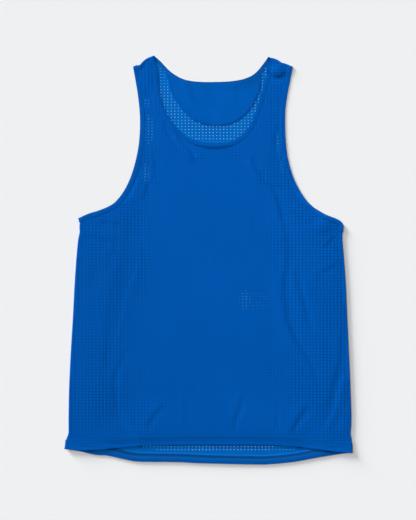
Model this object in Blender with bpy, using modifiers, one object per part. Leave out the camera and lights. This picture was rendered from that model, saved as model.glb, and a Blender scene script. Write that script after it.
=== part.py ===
"""A running singlet laid flat on a surface, front side up.

Two perforated panels lie on each other, joined at the sides and shoulders. A half-moon facing lies
inside the back of the neck, and folded bindings close the neck and the two armholes. Each hem is its
panel's own edge, turned up.

Metres, +Z up. The back panel lies on Z = 0, the shoulders point towards +Y, and the origin is the
middle of the garment's outline. Left and right are as it lies, seen from above.

The tables are in millimetres: across is measured to the right of the middle, and up from the lowest
point of the back hem.
"""

import math
from collections import namedtuple

import bmesh
import bpy
from mathutils import Vector
from mathutils.geometry import delaunay_2d_cdt

MM = 0.001
LENGTH = 728.0

# Walls and gaps
WALL = 1.0
HEM_WALL = 1.5
SEAM_GAP = 0.3
HEM_DEPTH = 15.0
HEM_STEP = 2.0
NECK_BINDING = 7.0
ARM_BINDING = 8.0
BINDING_CROWN = 0.5

# Heights of the lowest face of each layer
BACK_FLOOR = 0.0
FRONT_FLOOR = BACK_FLOOR + WALL + SEAM_GAP

# Spacing of the points that carry each surface
EDGE_STEP = 10.0
BODY_GRID = 15.0
STRAP_GRID = 8.0
STRAP_FROM = 640.0
BACK_GRID = 60.0
FACING_GRID = 24.0
FOLD_GRID = 7.0
FOLD_CLEARANCE = 9.0
EDGE_CLEARANCE = 4.0
SIDE_CLEARANCE = 10.0
GRID_CLEARANCE = 0.5  # of a grid's spacing
MERGE_DISTANCE = 1e-4

# Bindings: points along and across, steps of each half turn, and where they swing to the fold line
BINDING_STEP = 9.0
BINDING_COLUMNS = 3
TURN_STEPS = 5
TURN_REACH = 14.0

# Sides, from the hem corners to the underarms: up, left, right
SIDES = (
    (28.0, -256.0, 256.0),
    (43.0, -253.0, 254.5),
    (54.0, -249.2, 252.6),
    (82.0, -249.0, 254.0),
    (136.0, -248.0, 252.3),
    (200.0, -245.0, 249.6),
    (263.0, -241.2, 246.6),
    (321.0, -238.2, 244.0),
    (370.0, -234.8, 240.5),
    (399.0, -232.0, 238.0),
    (413.0, -229.3, 238.3),
)
SIDE_LEFT_TOP = ((-229.6, 423.0), (-229.4, 429.8))

# Armhole edges, from above the underarms to the shoulders: up, left, right
ARMHOLES = (
    (452.0, -195.0, 195.6),
    (460.0, -176.0, 184.0),
    (470.0, -163.0, 174.0),
    (488.0, -149.7, 162.0),
    (509.0, -139.5, 151.7),
    (530.0, -132.4, 144.7),
    (552.0, -127.1, 139.9),
    (576.0, -123.4, 137.4),
    (605.0, -121.9, 136.2),
    (631.0, -122.8, 136.7),
    (658.0, -125.8, 140.3),
    (683.0, -129.9, 145.2),
    (707.0, -134.2, 149.8),
)

# Ends of the armhole edges at the side seams: across, up. The right one rolls over its corner.
UNDERARM_LEFT = ((-229.9, 438.6), (-215.0, 445.6))
UNDERARM_RIGHT = (
    (238.9, 414.7),
    (240.0, 420.5),
    (239.5, 426.5),
    (235.0, 432.8),
    (226.0, 437.8),
    (210.0, 444.0),
)

# Front neckline, from the shoulders down: up, left, right
NECK_FRONT = (
    (713.0, -93.3, 105.2),
    (695.0, -90.6, 102.9),
    (673.5, -88.5, 97.5),
    (654.0, -85.3, 92.2),
    (634.4, -79.2, 86.0),
    (616.0, -69.4, 78.9),
    (599.0, -56.4, 70.5),
    (586.0, -40.9, 59.6),
    (577.4, -24.0, 46.5),
    (572.4, -7.1, 29.4),
)
NECK_FRONT_LOW = (11.0, 571.0)
NECK_POINTS = ((-96.3, 726.9), (105.7, 724.3))

# Back neckline, between the neck points: across, up
NECK_BACK = (
    (-85.4, 717.3),
    (-74.8, 705.9),
    (-64.1, 696.3),
    (-48.0, 687.0),
    (-32.0, 682.6),
    (-10.7, 680.7),
    (15.0, 680.7),
    (37.0, 681.7),
    (59.0, 685.0),
    (74.8, 690.8),
    (85.4, 698.3),
    (96.1, 710.9),
)

# Shoulder edges of the panels, from the armhole binding to the neck binding: across, up
SHOULDER_LEFT = ((-122.0, 710.6), (-118.8, 715.0), (-112.3, 720.7), (-106.1, 724.2))
SHOULDER_RIGHT = ((136.0, 713.6), (130.3, 714.9), (124.2, 719.2), (116.0, 722.6))

# Lower edge of the facing, from left to right: across, up
FACING_EDGE = (
    (-75.5, 695.0),
    (-71.5, 681.0),
    (-65.5, 659.3),
    (-51.3, 636.9),
    (-34.9, 618.4),
    (-14.4, 607.3),
    (6.0, 602.5),
    (26.3, 603.2),
    (46.8, 609.3),
    (63.2, 620.5),
    (77.4, 636.9),
    (87.8, 657.4),
    (92.7, 673.7),
    (95.2, 696.5),
)

# Hem edges between the corners, from left to right: across, up
FRONT_HEM = (
    (-229.0, 25.2),
    (-193.0, 26.4),
    (-158.0, 29.4),
    (-131.0, 31.8),
    (-104.0, 33.0),
    (-15.0, 34.6),
    (109.0, 34.0),
    (163.0, 30.4),
    (202.0, 25.8),
    (239.0, 21.6),
)
BACK_HEM = (
    (-229.0, 24.0),
    (-192.0, 17.2),
    (-150.0, 9.0),
    (-128.0, 5.0),
    (-53.0, 4.0),
    (-15.0, 2.1),
    (75.0, 0.0),
    (107.0, 0.2),
    (150.0, 4.5),
    (192.0, 12.2),
    (235.0, 19.2),
)
RIGHT_CORNER_DROP = 6.5

# Fold lines, where a binding turns from the front to the back: direction into the cloth
FOLD_NECK_LEFT = (-0.93, -0.37)
FOLD_NECK_RIGHT = (0.95, -0.31)
FOLD_SHOULDER_LEFT = (0.93, 0.37)
FOLD_SHOULDER_RIGHT = (-0.94, 0.34)
FOLD_UNDERARM_LEFT = (0.2, -0.98)
FOLD_UNDERARM_RIGHT = (-1.0, 0.05)

# Folds of the front panel: three points of the crest (across, up), its rise, and its reach each side
Fold = namedtuple("Fold", "start middle end rise reach")
FOLDS = (
    Fold((134, 402), (150, 318), (157, 208), 1.7, 16),
    Fold((-117, 462), (-125, 337), (-154, 213), 1.3, 20),
    Fold((-128, 512), (-146, 472), (-176, 428), 1.6, 15),
    Fold((154, 476), (176, 447), (208, 414), 1.6, 14),
    Fold((228, 376), (209, 361), (190, 352), 1.5, 9),
    Fold((230, 397), (214, 381), (200, 372), 1.1, 8),
    Fold((242, 206), (238, 141), (226, 66), 1.5, 13),
    Fold((43, 56), (49, 84), (59, 112), 0.7, 9),
    Fold((-108, 62), (-99, 84), (-88, 104), 0.8, 9),
    Fold((149, 54), (153, 76), (157, 98), 0.9, 9),
    Fold((-165, 186), (-168, 150), (-170, 110), 1.0, 14),
    Fold((-50, 574), (-38, 562), (-24, 548), 0.8, 10),
)

# Broad swells, where the front panel stands off the back one: centre, half sizes, and rise
Swell = namedtuple("Swell", "across up half_width half_height rise")
SWELLS = (
    Swell(-165, 325, 62, 125, 1.8),
    Swell(-200, 108, 55, 75, 1.5),
    Swell(182, 365, 62, 120, 1.8),
    Swell(200, 122, 56, 85, 1.7),
    Swell(-105, 690, 24, 34, 2.0),
    Swell(122, 694, 24, 30, 2.4),
    Swell(-24, 553, 24, 22, 0.8),
    Swell(38, 553, 24, 22, 0.8),
)
RELAXED = 0.3
FOLD_TAPER = 0.3  # of a fold's length, at each end
FOLD_ROWS = (0.0, -0.55, 0.55, -1.0, 1.0)  # of its reach, to each side

# Stretches of the front hem that lift off the surface: middle, half width, and rise
HemWave = namedtuple("HemWave", "across half_width rise")
HEM_WAVES = (
    HemWave(-192, 38, 2.4),
    HemWave(-122, 22, 2.0),
    HemWave(60, 60, 0.6),
    HemWave(140, 24, 2.0),
    HemWave(206, 36, 2.6),
)
HEM_WAVE_REACH = 48.0
HEM_REST_REACH = (22.0, 40.0)

# Distance over which the front panel comes down to the back one
SIDE_FADE = 15.0
SHOULDER_FADE = 8.0

# Colours, as linear red, green and blue
PANEL_COLOUR = (0.0010, 0.089, 0.41)
BINDING_COLOUR = (0.0012, 0.083, 0.39)
FACING_COLOUR = (0.0010, 0.095, 0.43)
CLOTH_ROUGHNESS = 0.85


# ---------------------------------------------------------------- lines in the plane


def points(rows):
    return [Vector((across, up)) for across, up in rows]


def smooth_line(through, step):
    """Points about a step apart on a Catmull-Rom curve through the given ones."""
    line = []
    last = len(through) - 1
    for i in range(last):
        before = through[i - 1] if i else through[i] * 2 - through[i + 1]
        start, end = through[i], through[i + 1]
        after = through[i + 2] if i + 2 <= last else end * 2 - start
        parts = max(1, round((end - start).length / step))
        for k in range(parts):
            t = k / parts
            line.append(
                0.5
                * (
                    2 * start
                    + (end - before) * t
                    + (2 * before - 5 * start + 4 * end - after) * t**2
                    + (3 * start - before - 3 * end + after) * t**3
                )
            )
    line.append(through[last].copy())
    return line


def lengths_along(line):
    run = [0.0]
    for a, b in zip(line, line[1:]):
        run.append(run[-1] + (b - a).length)
    return run


def smoothstep(t):
    t = min(1.0, max(0.0, t))
    return t * t * (3 - 2 * t)


def distance_to(line, p):
    """Shortest distance from a point to a polyline."""
    best = math.inf
    for a, b in zip(line, line[1:]):
        run = b - a
        t = max(0.0, min(1.0, (p - a).dot(run) / run.length_squared))
        best = min(best, (a + run * t - p).length)
    return best


def is_inside(outline, p):
    inside = False
    for a, b in zip(outline, outline[1:] + outline[:1]):
        if (a.y > p.y) != (b.y > p.y):
            if p.x < a.x + (b.x - a.x) * (p.y - a.y) / (b.y - a.y):
                inside = not inside
    return inside


def height_of_line(line, across):
    """How far up a line from left to right is, at a place across."""
    for a, b in zip(line, line[1:]):
        if a.x <= across <= b.x:
            return a.y + (b.y - a.y) * (across - a.x) / (b.x - a.x)
    return line[0].y if across < line[0].x else line[-1].y


def widths_into_cloth(line, cloth_side, first_fold, last_fold):
    """Unit vectors from an edge into its cloth, turned to the fold lines at the two ends."""
    run = lengths_along(line)
    vectors = []
    for i, s in enumerate(run):
        tangent = line[min(i + 1, len(line) - 1)] - line[max(i - 1, 0)]
        normal = Vector((-tangent.y, tangent.x)).normalized() * cloth_side
        to_first = 1 - smoothstep(s / TURN_REACH)
        to_last = 1 - smoothstep((run[-1] - s) / TURN_REACH)
        mixed = (
            normal * (1 - to_first) * (1 - to_last)
            + Vector(first_fold) * to_first
            + Vector(last_fold) * to_last
        )
        vectors.append(mixed.normalized())
    return vectors


class Edge:
    """A bound edge: its line, the way into the cloth at each point, and its binding's width."""

    def __init__(self, rows, width, cloth_side, first_fold, last_fold):
        self.line = smooth_line(points(rows), BINDING_STEP)
        self.width = width
        self.inward = widths_into_cloth(self.line, cloth_side, first_fold, last_fold)

    def moved_in(self, distance):
        return [p + w * distance for p, w in zip(self.line, self.inward)]

    def seam(self):
        """Where the panel starts, just clear of the binding."""
        return self.moved_in(self.width + SEAM_GAP)

    def fold_ends(self):
        lines = []
        for i in (0, -1):
            lines.append([self.line[i], self.line[i] + self.inward[i] * self.width])
        return lines


def column(table, which):
    """One side of a table of sections, as points."""
    return [(row[which], row[0]) for row in table]


def make_edges():
    left_arm = Edge(
        UNDERARM_LEFT + tuple(column(ARMHOLES, 1)),
        ARM_BINDING,
        -1,
        FOLD_UNDERARM_LEFT,
        FOLD_SHOULDER_LEFT,
    )
    right_arm = Edge(
        UNDERARM_RIGHT + tuple(column(ARMHOLES, 2)),
        ARM_BINDING,
        1,
        FOLD_UNDERARM_RIGHT,
        FOLD_SHOULDER_RIGHT,
    )
    down_left = column(NECK_FRONT, 1)
    up_right = column(NECK_FRONT, 2)[::-1]
    neck_front = Edge(
        [NECK_POINTS[0], *down_left, NECK_FRONT_LOW, *up_right, NECK_POINTS[1]],
        NECK_BINDING,
        -1,
        FOLD_NECK_LEFT,
        FOLD_NECK_RIGHT,
    )
    neck_back = Edge(
        [NECK_POINTS[0], *NECK_BACK, NECK_POINTS[1]],
        NECK_BINDING,
        -1,
        FOLD_NECK_LEFT,
        FOLD_NECK_RIGHT,
    )
    return left_arm, right_arm, neck_front, neck_back


def side_lines():
    left = smooth_line(points(column(SIDES, 1) + list(SIDE_LEFT_TOP)), EDGE_STEP)
    right = points(column(SIDES, 2))
    right[0].y -= RIGHT_CORNER_DROP
    return left, smooth_line(right, EDGE_STEP)


def hem_line(rows, left_side, right_side):
    return smooth_line([left_side[0], *points(rows), right_side[0]], EDGE_STEP)


def panel_outline(hem, sides, arms, neck):
    """Counterclockwise: hem, right side, shoulders and neck, then the left side."""
    (left, right), (left_arm, right_arm) = sides, arms
    right_seam, left_seam = right_arm.seam(), left_arm.seam()
    right_step = Vector((right_seam[0].x, right[-1].y))
    return [
        *hem,
        *right[1:],
        right_step,
        *right_seam,
        *points(SHOULDER_RIGHT),
        *neck.seam()[::-1],
        *points(SHOULDER_LEFT)[::-1],
        *left_seam[::-1],
        *left[:0:-1],
    ]


# ---------------------------------------------------------------- how the front panel lies


def bump(t):
    """1 at 0, falling smoothly to 0 at 1."""
    return (1 - t * t) ** 2 if abs(t) < 1 else 0.0


def crest_line(fold):
    a, b, c = points((fold.start, fold.middle, fold.end))
    return smooth_line([a, b, c], EDGE_STEP)


def fold_rise(fold, crest, p):
    """A soft ridge along its crest, low at both ends."""
    across = distance_to(crest, p) / fold.reach
    if across >= 1:
        return 0.0
    run = crest[-1] - crest[0]
    along = (p - crest[0]).dot(run) / run.length_squared
    ends = smoothstep(along / FOLD_TAPER) * smoothstep((1 - along) / FOLD_TAPER)
    return fold.rise * bump(across) * ends


class FrontLie:
    """Height of the front layer above where it would touch the back one."""

    def __init__(self, front_hem, sides, edges):
        left_arm, right_arm, neck_front, _ = edges
        self.hem = front_hem
        self.crests = [(fold, crest_line(fold)) for fold in FOLDS]
        underarms = [left_arm.fold_ends()[0], right_arm.fold_ends()[0]]
        shoulder_tops = [
            *left_arm.fold_ends()[1:],
            *right_arm.fold_ends()[1:],
            *neck_front.fold_ends(),
        ]
        self.side_lines = [*sides, *underarms]
        self.shoulder_lines = [points(SHOULDER_LEFT), points(SHOULDER_RIGHT)]
        self.shoulder_lines += shoulder_tops

    def __call__(self, p):
        to_side = min(distance_to(line, p) for line in self.side_lines)
        to_shoulder = min(distance_to(line, p) for line in self.shoulder_lines)
        fade = smoothstep(to_side / SIDE_FADE) * smoothstep(to_shoulder / SHOULDER_FADE)
        above_hem = p.y - height_of_line(self.hem, p.x)

        rise = RELAXED
        for swell in SWELLS:
            out = math.hypot(
                (p.x - swell.across) / swell.half_width,
                (p.y - swell.up) / swell.half_height,
            )
            rise += swell.rise * bump(out)
        for fold, crest in self.crests:
            rise += fold_rise(fold, crest, p)
        for wave in HEM_WAVES:
            along = bump((p.x - wave.across) / wave.half_width)
            rise += wave.rise * along * bump(max(0.0, above_hem) / HEM_WAVE_REACH)

        near, far = HEM_REST_REACH
        on_hem = 1 - smoothstep((above_hem - near) / (far - near))
        return fade * rise + (HEM_WALL - WALL) * on_hem


# ---------------------------------------------------------------- meshes


def new_object(name, colour, verts, faces):
    mesh = bpy.data.meshes.new(name)
    mesh.from_pydata([Vector(v) * MM for v in verts], [], faces)
    mesh.update()
    obj = bpy.data.objects.new(name, mesh)
    collection.objects.link(obj)
    material = bpy.data.materials.new(name)
    material.use_nodes = True
    shader = material.node_tree.nodes["Principled BSDF"]
    shader.inputs["Base Color"].default_value = (*colour, 1)
    shader.inputs["Roughness"].default_value = CLOTH_ROUGHNESS
    shader.inputs["Metallic"].default_value = 0
    obj.data.materials.append(material)
    return obj


def add_wall(obj, thickness, offset, thin_share=None):
    """Gives an open surface its thickness. With thin_share, the group Hem has all of it."""
    wall = obj.modifiers.new("Wall", "SOLIDIFY")
    wall.thickness = thickness * MM
    wall.offset = offset
    wall.use_rim = True
    if thin_share is not None:
        wall.vertex_group = "Hem"
        wall.thickness_vertex_group = thin_share


def grid_points(outline, spacing, low, high):
    """A grid of staggered rows inside an outline, clear of its edge."""
    row_height = spacing * math.sqrt(3) / 2
    closed = outline + outline[:1]
    left = min(p.x for p in outline)
    right = max(p.x for p in outline)
    found = []
    for row in range(math.ceil((high - low) / row_height)):
        up = low + (row + 0.5) * row_height
        for k in range(math.ceil((right - left) / spacing)):
            p = Vector((left + (k + 0.25 + 0.5 * (row % 2)) * spacing, up))
            if up < high and is_inside(outline, p):
                if distance_to(closed, p) > GRID_CLEARANCE * spacing:
                    found.append(p)
    return found


def fold_points(outline, crests):
    """Points along each crest and along its two feet, inside the outline."""
    closed = outline + outline[:1]
    found = []
    for fold, crest in crests:
        run = crest[-1] - crest[0]
        side = Vector((-run.y, run.x)).normalized() * fold.reach
        for share in FOLD_ROWS:
            found += [p + side * share for p in crest]
    return [
        p for p in found if is_inside(outline, p) and distance_to(closed, p) > EDGE_CLEARANCE
    ]


def thinned(candidates, spacing):
    """The candidates in their order, without those too near one before them."""
    kept = []
    for p in candidates:
        if all((p - q).length_squared > spacing * spacing for q in kept):
            kept.append(p)
    return kept


def flat_mesh(outline, inside_points, inner_lines=()):
    """Triangles that fill an outline, with edges along the inner lines."""
    verts = list(outline) + list(inside_points)
    edges = []
    for line in inner_lines:
        first = len(verts)
        verts += line
        edges += [(first + i, first + i + 1) for i in range(len(line) - 1)]
    face = list(range(len(outline)))
    verts, _, faces, *_ = delaunay_2d_cdt(verts, edges, [face], 1, MERGE_DISTANCE)
    return verts, faces


def above_hem_lines(hem, sides, distances):
    """Lines at these distances above a hem, ending on the side edges."""
    lines = []
    for distance in distances:
        raised = [Vector((p.x, p.y + distance)) for p in hem]
        line = [p for p in raised if inside_sides(sides, p)]
        ends = []
        for side in sides:
            up = side[0].y + distance
            across = next(
                a.x + (b.x - a.x) * (up - a.y) / (b.y - a.y)
                for a, b in zip(side, side[1:])
                if a.y <= up <= b.y
            )
            ends.append(Vector((across, up)))
        lines.append([ends[0], *line, ends[1]])
    return lines


def inside_sides(sides, p):
    left, right = sides
    return left[0].x + SIDE_CLEARANCE < p.x < right[0].x - SIDE_CLEARANCE


def panel(name, outline, hem, sides, inside_points, height):
    """A panel's wall on its lower face, with the hem's double thickness along its bottom edge."""
    hem_lines = above_hem_lines(hem, sides, (HEM_DEPTH, HEM_DEPTH + HEM_STEP))
    hem_top = HEM_DEPTH + HEM_STEP + EDGE_CLEARANCE
    clear_of_hem = [p for p in inside_points if p.y - height_of_line(hem, p.x) > hem_top]
    flat, faces = flat_mesh(outline, clear_of_hem, hem_lines)
    verts = [(p.x, p.y - LENGTH / 2, height(p)) for p in flat]
    obj = new_object(name, PANEL_COLOUR, verts, faces)
    group = obj.vertex_groups.new(name="Hem")
    in_hem = [
        i
        for i, p in enumerate(flat)
        if p.y - height_of_line(hem, p.x) < HEM_DEPTH + HEM_STEP / 2
    ]
    group.add(in_hem, 1.0, "REPLACE")
    add_wall(obj, HEM_WALL, 1, WALL / HEM_WALL)
    return obj


def binding_rows(edge, height, crown):
    """Cross rows of a binding that lies along its edge, from the edge to the seam."""
    rows = []
    for p, w in zip(edge.line, edge.inward):
        row = []
        for k in range(BINDING_COLUMNS + 1):
            share = k / BINDING_COLUMNS
            q = p + w * edge.width * share
            arch = crown * 4 * share * (1 - share)
            row.append(Vector((q.x, q.y - LENGTH / 2, height(q) + arch)))
        rows.append(row)
    return rows


def turn_rows(upper, lower, outward):
    """Cross rows of a half turn, from an upper row round to the lower one."""
    rows = []
    for step in range(1, TURN_STEPS):
        angle = math.pi * step / TURN_STEPS
        row = []
        for a, b in zip(upper, lower):
            middle = (a + b) / 2
            radius = (a.z - b.z) / 2
            out = Vector((outward.x, outward.y, 0)) * radius * math.sin(angle)
            row.append(middle + (a - b) / 2 * math.cos(angle) + out)
        rows.append(row)
    return rows


def binding(name, front, back, front_height, back_height):
    """A binding all the way round: along the front, over to the back, and home again."""
    upper = binding_rows(front, front_height, BINDING_CROWN)
    lower = binding_rows(back, back_height, 0.0)
    outward = []
    for i, j in ((0, 1), (-1, -2)):
        fold = front.inward[i]
        away = front.line[i] - front.line[j]
        across_fold = Vector((-fold.y, fold.x))
        outward.append(across_fold if across_fold.dot(away) > 0 else -across_fold)
    rows = (
        upper
        + turn_rows(upper[-1], lower[-1], outward[1])
        + lower[::-1]
        + turn_rows(upper[0], lower[0], outward[0])[::-1]
    )
    wide = BINDING_COLUMNS + 1
    faces = []
    for r in range(len(rows)):
        here, there = r * wide, (r + 1) % len(rows) * wide
        for k in range(BINDING_COLUMNS):
            faces.append((here + k, there + k, there + k + 1, here + k + 1))
    obj = new_object(name, BINDING_COLOUR, [v for row in rows for v in row], faces)
    face_outwards(obj)
    add_wall(obj, WALL, 0)
    return obj


def face_outwards(obj):
    """Turns a band's faces so that those of its upper stretch look up."""
    mesh = bmesh.new()
    mesh.from_mesh(obj.data)
    highest = max(mesh.faces, key=lambda face: face.calc_center_median().z)
    highest.normal_update()
    if highest.normal.z < 0:
        bmesh.ops.reverse_faces(mesh, faces=mesh.faces[:])
    mesh.to_mesh(obj.data)
    mesh.free()


def facing(name, neck_back):
    """The half-moon inside the back of the neck, from the binding's seam down."""
    lower = smooth_line(points(FACING_EDGE), EDGE_STEP)
    low_left, low_right = lower[0].x + EDGE_CLEARANCE, lower[-1].x - EDGE_CLEARANCE
    top = [p for p in neck_back.seam() if low_left < p.x < low_right]
    outline = lower + top[::-1]
    low, high = min(p.y for p in outline), max(p.y for p in outline)
    flat, faces = flat_mesh(outline, grid_points(outline, FACING_GRID, low, high))
    verts = [(p.x, p.y - LENGTH / 2, FRONT_FLOOR) for p in flat]
    obj = new_object(name, FACING_COLOUR, verts, faces)
    add_wall(obj, WALL, 1)
    return obj


def centre_on_origin(objects):
    """Moves all pieces together, so that the middle of their outline is the origin."""
    graph = bpy.context.evaluated_depsgraph_get()
    corners = []
    for obj in objects:
        corners += [Vector(corner) for corner in obj.evaluated_get(graph).bound_box]
    low = Vector([min(c[i] for c in corners) for i in range(3)])
    high = Vector([max(c[i] for c in corners) for i in range(3)])
    shift = Vector((-(low.x + high.x) / 2, -(low.y + high.y) / 2, -low.z))
    for obj in objects:
        for vertex in obj.data.vertices:
            vertex.co += shift


# ---------------------------------------------------------------- the singlet

for old in list(bpy.data.objects):
    bpy.data.objects.remove(old)
collection = bpy.data.collections.new("running_singlet")
bpy.context.scene.collection.children.link(collection)

edges = make_edges()
left_arm, right_arm, neck_front, neck_back = edges
sides = side_lines()
front_hem = hem_line(FRONT_HEM, *sides)
back_hem = hem_line(BACK_HEM, *sides)
front_lie = FrontLie(front_hem, sides, edges)


def back_floor(p):
    return BACK_FLOOR


def front_floor(p):
    return FRONT_FLOOR + front_lie(p)


def back_band(p):
    return BACK_FLOOR + WALL / 2


def front_band(p):
    return FRONT_FLOOR + WALL / 2 + front_lie(p)


front_outline = panel_outline(front_hem, sides, (left_arm, right_arm), neck_front)
back_outline = panel_outline(back_hem, sides, (left_arm, right_arm), neck_back)
on_folds = thinned(fold_points(front_outline, front_lie.crests), FOLD_GRID)
on_straps = grid_points(front_outline, STRAP_GRID, STRAP_FROM, LENGTH)
on_body = grid_points(front_outline, BODY_GRID, 0, STRAP_FROM)
far_from_folds = [
    p for p in on_body if all((p - q).length > FOLD_CLEARANCE for q in on_folds)
]

pieces = [
    panel(
        "back_panel",
        back_outline,
        back_hem,
        sides,
        grid_points(back_outline, BACK_GRID, 0, LENGTH),
        back_floor,
    ),
    panel(
        "front_panel",
        front_outline,
        front_hem,
        sides,
        on_folds + far_from_folds + on_straps,
        front_floor,
    ),
    facing("back_neck_facing", neck_back),
    binding("neck_binding", neck_front, neck_back, front_band, back_band),
    binding("armhole_binding_left", left_arm, left_arm, front_band, back_band),
    binding("armhole_binding_right", right_arm, right_arm, front_band, back_band),
]
bpy.context.view_layer.update()
centre_on_origin(pieces)
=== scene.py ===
"""The looks of a running singlet laid flat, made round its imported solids.

Both panels become perforated cloth, with their holes cut through, hems turned up and sides rolled
over. The bindings become folded strips, and the facing a plain half-moon with a turned edge.
Threads lie along every seam that shows.

All places and sizes are in millimetres until a mesh is made: across is measured to the right of
the middle, and up from the lowest point of the back hem.
"""

from collections import namedtuple
from math import cos, dist, pi, radians, sin

import bpy
import numpy as np
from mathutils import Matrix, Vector
from mathutils.geometry import delaunay_2d_cdt


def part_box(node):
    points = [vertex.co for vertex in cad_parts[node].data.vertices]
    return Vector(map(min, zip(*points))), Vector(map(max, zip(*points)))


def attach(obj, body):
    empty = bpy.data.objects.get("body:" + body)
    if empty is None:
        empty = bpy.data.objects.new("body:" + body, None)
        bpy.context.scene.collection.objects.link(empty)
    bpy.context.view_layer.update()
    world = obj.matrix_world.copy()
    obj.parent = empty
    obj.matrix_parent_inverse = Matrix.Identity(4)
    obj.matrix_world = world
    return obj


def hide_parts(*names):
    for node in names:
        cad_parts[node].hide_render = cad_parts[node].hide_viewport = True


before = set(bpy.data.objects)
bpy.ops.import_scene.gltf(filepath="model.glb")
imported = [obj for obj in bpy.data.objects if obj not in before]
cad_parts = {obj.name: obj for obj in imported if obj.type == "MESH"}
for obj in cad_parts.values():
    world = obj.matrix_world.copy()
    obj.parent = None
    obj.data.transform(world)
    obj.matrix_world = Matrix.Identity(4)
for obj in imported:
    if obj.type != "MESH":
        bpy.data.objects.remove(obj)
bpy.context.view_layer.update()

MM = 0.001
LOWEST_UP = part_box("back_panel")[0][1]  # where the back hem is lowest, in the row frame
UP = np.array((0.0, 0.0, 1.0))


def table(kind, *rows):
    return [kind(*row) for row in rows]


def creases(*rows):
    return [Crease(line, drop, half_width) for drop, half_width, *line in rows]


# The cloth: its holes, layers and edges
PITCH = np.array((6.221, 5.447))
BACK_HOLES_FROM = np.array((2.18, 2.26))
FRONT_HOLES_FROM = BACK_HOLES_FROM + PITCH / 2
HOLE_RADIUS = 0.7
HOLE_SIDES = 8
CELL_RING = ((1, 0), (1, 1), (0, 1), (-1, 1), (-1, 0), (-1, -1), (0, -1), (1, -1))
HOLE_MARGIN = 0.8
HOLE_RIM = 0.95  # width of the shaded ring round a hole where the cloth stands off
HOLE_GLOW = 0.45  # width of the painted glow round a hole over the pale surface, for light coming up through it
RIM_RUN = 2.2  # from a hole's edge to the sides of its cell
CELL_MARGIN = 1.2
EDGE_STEP = 3.0
MERGE_DISTANCE = 1e-4

BACK_LIE = 0.5  # height of the back panel's cloth above the surface
LAYER_GAP = 0.85
SIDE_STAND = 2.4  # how far the front stands off the back along its sides
SIDE_LEVEL = 12.0
SIDE_REACH = 125.0
SIDE_RISE = 0.25  # how far it rises again towards the left side seam
SIDE_RISE_REACH = 11.0
SHOULDER_STAND = 1.0
SHOULDER_REACH = 22.0
BINDING_DITCH = 0.12  # how far the front sinks beside a binding
BINDING_REACH = 6.0
SIDE_ROLL = 0.8
ROLL_PAINTED_SHADE = 0.78  # painted shade: how much darker a rolled edge or a binding's fold is painted where it faces the key light
SIDE_SEAM_LIFT = 1.1  # height of the side seams above the back panel's cloth
SEAM_GAP = 0.05  # half the gap between the panels there
ROLL_STEPS = 5
EDGE_REST = 1.6  # flat cloth between the net's outline and a rolled edge
WAVES = (0.05, (23, 61), (37, 71))  # slight unevenness that both panels share: height, lengths
CORNER_GAP = 0.5  # at least this much between a hem's end and the side above it
# Creases and waves fade out this near an edge
SHOULDER_STILL, SIDE_STILL, HEM_STILL = 3.0, 9.0, 12.0

# Painted shade round the front's holes, for the shadow on the back layer where the panels stand
# apart
DEEP_EDGE = 30.0
DEEP_START = 0.4
DEEP_LEAST = 0.2
DEEP_MEAN, DEEP_SWING = 0.58, 0.36
DEEP_SWAY = 1.3
DEEP_WAVES = (10, 33, 31, 47)  # lengths of their uneven patches
SIDE_DEPTHS = (0.58, 0.9)  # how dark they are left and right of the middle
DEEP_HEM_REACH = 6.0  # they grow dark over this much above the hem
DEEP_LIFT = 0.04  # how much lighter the cloth is there between them

HEM_DEPTH = 15.6
HEM_FOLD = 0.5  # radius of the fold along a hem
HEM_CURL = 1.1  # how far the back hem's edge stands off the surface
HEM_CURL_REACH = 16.0
BACK_PLAIN = 19.0  # the back's net of holes ends this far above its hem's edge
HEM_FOLD_STEPS = 5
# Rows of a hem's turned layer: how deep each lies, and how the back's looks there: its seam, and
# how much painted shade it has
HemLayer = namedtuple("HemLayer", "depth seam dark")
HEM_LAYERS = table(
    HemLayer,
    (3.5, 0, 0.1), (5.6, 0, 0.12), (7, 1, 0.06), (9.5, 1, 0.08), (12, 0.9, 0.02), (15.6, 0.7, 0),
)
HEM_REST_REACH = (24.0, 95.0)
HEM_FALL = 0.65  # how far the front falls towards its hem's fold
HEM_FALL_REACH = (7.0, 18.0)
BACK_LAYER_REACH = 8.0
HEM_SLIP = 2.4  # how far the back's net is drawn up above its hem
HEM_SLIP_REACH = ((10.0, 19.0), (50.0, 90.0))  # where that begins and where it ends
HEM_INNER = ((0.3, 0.05), (1.0, 0.05))  # rows of the front's inner layer: share out, and drop
HEM_INNER_LAST = 0.15
RAW_EDGE_DROP = 0.7
RAW_EDGE_SHADE = 0.3
HEM_BAND = (8.5, 15.5)  # the stitched band on the front hem, above its edge
HEM_BAND_TINT = 0.12

NECK_BINDING = 7.0
ARM_BINDING = 8.0
BINDING_STEP = 2.4
BINDING_HALF = 0.25  # half the thickness of a folded binding
PLUMP_SWING = 0.12  # how unevenly plump a binding is
PLUMP_RUN = 31.0
BINDING_TUCK = 3.0  # how far a panel runs into its binding
BINDING_FOLD_STEPS = 5
LEAF_END = 0.12  # how far a hidden leaf's end lies below the binding's middle
LEAF_END_DROP = 0.3  # how much further down it is at the end of a turn
TURN_STEPS = 6
TURN_REACH = 14.0
SEAM_TINT = 0.6  # how dull the inner half of the back's neck binding is
SEAM_SHADE = 0.14  # how much darker it is towards the right neck point
SEAM_SHADE_SPAN = (20.0, 80.0)
LEAF_END_PAINTED_SHADE = 0.2  # painted shade: how much darker the end of a binding's leaf is where it faces the key light
NECK_POINT_SHADES = (0.5, 0.85)  # how dark the neck's binding is at its left and its right point
NECK_POINT_REACH = 11.0
PROUD_END = 0.5  # how squarely such an end seems to face it, for each millimetre it stands proud
PROUD_SHADE = 0.65  # how dark a fold is where its binding stands a millimetre proud
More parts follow.
